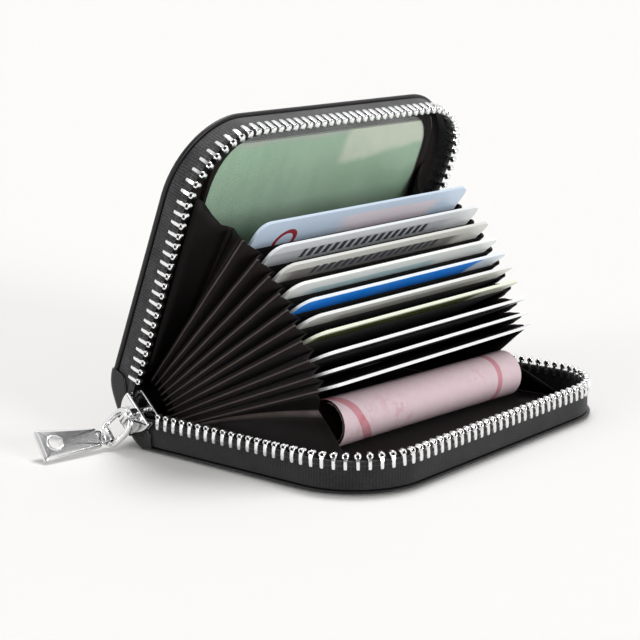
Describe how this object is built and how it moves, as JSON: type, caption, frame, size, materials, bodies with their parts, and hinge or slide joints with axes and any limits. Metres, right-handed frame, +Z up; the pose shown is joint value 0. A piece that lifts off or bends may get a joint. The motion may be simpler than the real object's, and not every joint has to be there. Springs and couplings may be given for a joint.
{
  "type": "zip-around card wallet",
  "caption": "Small zip-around leather card wallet standing open, with an accordion fan of card sleeves, a window pocket in the lid and a metal zip pull.",
  "frame": {"origin": "centre of the lower cover's underside, on the surface the wallet lies on", "axes": "+X from the spine to the opening side, +Y along the spine, +Z up; the slider is at the -Y end"},
  "size_m": [0.0888, 0.1339, 0.084],
  "materials": {
    "leather": "smooth black leather, satin",
    "board": "plain grey board",
    "lining": "thin woven lining, dull",
    "tape": "ribbed dark grey zip tape",
    "metal": "bright plated",
    "film": "clear, glossy",
    "note_paper": "matte",
    "card_green": "satin",
    "card_white": "satin",
    "card_silver": "satin",
    "card_olive": "satin",
    "card_blue": "satin",
    "card_teal": "satin",
    "card_stone": "satin",
    "card_grey": "satin",
    "card_sky": "satin"
  },
  "bodies": {
    "tray": {"lower_cover": "leather", "lower_board": "board", "lower_lining": "lining", "lower_zip_tape": "tape", "lower_zip_chain": "metal", "lower_near_stop": "metal", "lower_far_stop": "metal", "lower_near_tab": "leather", "lower_far_tab": "leather", "spine_leather": "leather", "near_pleats": "lining", "far_pleats": "lining"},
    "lid": {"lid_cover": "leather", "lid_board": "board", "lid_lining": "lining", "lid_zip_tape": "tape", "lid_zip_chain": "metal", "lid_near_stop": "metal", "lid_far_stop": "metal", "lid_near_tab": "leather", "lid_far_tab": "leather", "id_window_frame": "lining", "id_window_film": "film"},
    "id_card_body": {"id_card": "card_green"},
    "note": {"note_roll": "note_paper"},
    "slider_body": {"slider": "metal"},
    "link": {"pull_link": "metal"},
    "tab": {"pull_tab": "metal"},
    "sleeve_01": {"sleeve_01_back": "lining", "sleeve_01_front": "lining"},
    "sleeve_02": {"sleeve_02_back": "lining", "sleeve_02_front": "lining"},
    "sleeve_03": {"sleeve_03_back": "lining", "sleeve_03_front": "lining"},
    "sleeve_04": {"sleeve_04_back": "lining", "sleeve_04_front": "lining"},
    "sleeve_05": {"sleeve_05_back": "lining", "sleeve_05_front": "lining"},
    "sleeve_06": {"sleeve_06_back": "lining", "sleeve_06_front": "lining"},
    "sleeve_07": {"sleeve_07_back": "lining", "sleeve_07_front": "lining"},
    "sleeve_08": {"sleeve_08_back": "lining", "sleeve_08_front": "lining"},
    "sleeve_09": {"sleeve_09_back": "lining", "sleeve_09_front": "lining"},
    "sleeve_10": {"sleeve_10_back": "lining", "sleeve_10_front": "lining"},
    "card_01_body": {"card_01": "card_white"},
    "card_02_body": {"card_02": "card_white"},
    "card_03_body": {"card_03": "card_white"},
    "card_04_body": {"card_04": "card_olive"},
    "card_05_body": {"card_05": "card_silver"},
    "card_06_body": {"card_06": "card_blue"},
    "card_07_body": {"card_07": "card_teal"},
    "card_08_body": {"card_08": "card_stone"},
    "card_09_body": {"card_09": "card_grey"},
    "card_10_body": {"card_10": "card_sky"}
  },
  "joints": [
    {"name": "cover_hinge", "type": "hinge", "parent": "tray", "child": "lid", "pos_m": [-0.03799, 0, 0.0102], "axis": [0, -1, 0], "range_deg": [-68, 22], "deforming": ["spine_leather", "near_pleats", "far_pleats", "note_roll"]},
    {"name": "sleeve_hinge_01", "type": "hinge", "parent": "tray", "child": "sleeve_01", "pos_m": [-0.03549, 0, 0.00329], "axis": [0, -1, 0], "range_deg": [-19.81, 6.42]},
    {"name": "sleeve_hinge_02", "type": "hinge", "parent": "sleeve_01", "child": "sleeve_02", "pos_m": [-0.03592, 0, 0.00448], "axis": [0, -1, 0], "range_deg": [-2.41, 0.79]},
    {"name": "sleeve_hinge_03", "type": "hinge", "parent": "sleeve_02", "child": "sleeve_03", "pos_m": [-0.03639, 0, 0.00564], "axis": [0, -1, 0], "range_deg": [-2.76, 0.9]},
    {"name": "sleeve_hinge_04", "type": "hinge", "parent": "sleeve_03", "child": "sleeve_04", "pos_m": [-0.03692, 0, 0.00679], "axis": [0, -1, 0], "range_deg": [-3.81, 1.24]},
    {"name": "sleeve_hinge_05", "type": "hinge", "parent": "sleeve_04", "child": "sleeve_05", "pos_m": [-0.03753, 0, 0.00789], "axis": [0, -1, 0], "range_deg": [-2.91, 0.95]},
    {"name": "sleeve_hinge_06", "type": "hinge", "parent": "sleeve_05", "child": "sleeve_06", "pos_m": [-0.03819, 0, 0.00896], "axis": [0, -1, 0], "range_deg": [-2.91, 0.95]},
    {"name": "sleeve_hinge_07", "type": "hinge", "parent": "sleeve_06", "child": "sleeve_07", "pos_m": [-0.03891, 0, 0.01], "axis": [0, -1, 0], "range_deg": [-3.31, 1.08]},
    {"name": "sleeve_hinge_08", "type": "hinge", "parent": "sleeve_07", "child": "sleeve_08", "pos_m": [-0.03968, 0, 0.01099], "axis": [0, -1, 0], "range_deg": [-3.81, 1.24]},
    {"name": "sleeve_hinge_09", "type": "hinge", "parent": "sleeve_08", "child": "sleeve_09", "pos_m": [-0.04052, 0, 0.01194], "axis": [0, -1, 0], "range_deg": [-4.01, 1.3]},
    {"name": "sleeve_hinge_10", "type": "hinge", "parent": "sleeve_09", "child": "sleeve_10", "pos_m": [-0.04142, 0, 0.01282], "axis": [0, -1, 0], "range_deg": [-5.06, 1.64]},
    {"name": "card_slide_01", "type": "slide", "parent": "sleeve_01", "child": "card_01_body", "axis": [0.9409, 0, 0.3387], "range_m": [0, 0.05]},
    {"name": "card_slide_02", "type": "slide", "parent": "sleeve_02", "child": "card_02_body", "axis": [0.9259, 0, 0.3778], "range_m": [0, 0.05]},
    {"name": "card_slide_03", "type": "slide", "parent": "sleeve_03", "child": "card_03_body", "axis": [0.9067, 0, 0.4218], "range_m": [0, 0.05]},
    {"name": "card_slide_04", "type": "slide", "parent": "sleeve_04", "child": "card_04_body", "axis": [0.8767, 0, 0.481], "range_m": [0, 0.05]},
    {"name": "card_slide_05", "type": "slide", "parent": "sleeve_05", "child": "card_05_body", "axis": [0.8513, 0, 0.5247], "range_m": [0, 0.05]},
    {"name": "card_slide_06", "type": "slide", "parent": "sleeve_06", "child": "card_06_body", "axis": [0.8236, 0, 0.5671], "range_m": [0, 0.05]},
    {"name": "card_slide_07", "type": "slide", "parent": "sleeve_07", "child": "card_07_body", "axis": [0.7896, 0, 0.6136], "range_m": [0, 0.05]},
    {"name": "card_slide_08", "type": "slide", "parent": "sleeve_08", "child": "card_08_body", "axis": [0.7472, 0, 0.6646], "range_m": [0, 0.05]},
    {"name": "card_slide_09", "type": "slide", "parent": "sleeve_09", "child": "card_09_body", "axis": [0.699, 0, 0.7151], "range_m": [0, 0.05]},
    {"name": "card_slide_10", "type": "slide", "parent": "sleeve_10", "child": "card_10_body", "axis": [0.6334, 0, 0.7738], "range_m": [0, 0.05]},
    {"name": "slider_tilt", "type": "hinge", "parent": "tray", "child": "slider_body", "pos_m": [-0.03499, 0, 0.0102], "axis": [0, -1, 0], "range_deg": [-45.31, 14.67]},
    {"name": "link_hinge", "type": "hinge", "parent": "slider_body", "child": "link", "pos_m": [-0.03583, -0.05795, 0.00935], "axis": [-0.6953, 0.2079, 0.688], "range_deg": [-4, 90]},
    {"name": "tab_hinge", "type": "hinge", "parent": "link", "child": "tab", "pos_m": [-0.04229, -0.05933, 0.00324], "axis": [-0.6953, 0.2079, 0.688], "range_deg": [-65, 30]},
    {"name": "id_card_slide", "type": "slide", "parent": "lid", "child": "id_card_body", "axis": [0, 1, 0], "range_m": [0, 0.006]},
    {"name": "note_slide", "type": "slide", "parent": "tray", "child": "note", "axis": [0.9409, 0, 0.3387], "range_m": [0, 0.06]}
  ],
  "couplings": [
    {"joint": "sleeve_hinge_01", "follows": "cover_hinge", "ratio": 0.29118},
    {"joint": "sleeve_hinge_02", "follows": "cover_hinge", "ratio": 0.035294},
    {"joint": "sleeve_hinge_03", "follows": "cover_hinge", "ratio": 0.040441},
    {"joint": "sleeve_hinge_04", "follows": "cover_hinge", "ratio": 0.055882},
    {"joint": "sleeve_hinge_05", "follows": "cover_hinge", "ratio": 0.042647},
    {"joint": "sleeve_hinge_06", "follows": "cover_hinge", "ratio": 0.042647},
    {"joint": "sleeve_hinge_07", "follows": "cover_hinge", "ratio": 0.048529},
    {"joint": "sleeve_hinge_08", "follows": "cover_hinge", "ratio": 0.055882},
    {"joint": "sleeve_hinge_09", "follows": "cover_hinge", "ratio": 0.058824},
    {"joint": "sleeve_hinge_10", "follows": "cover_hinge", "ratio": 0.074265},
    {"joint": "slider_tilt", "follows": "cover_hinge", "ratio": 0.66618}
  ]
}
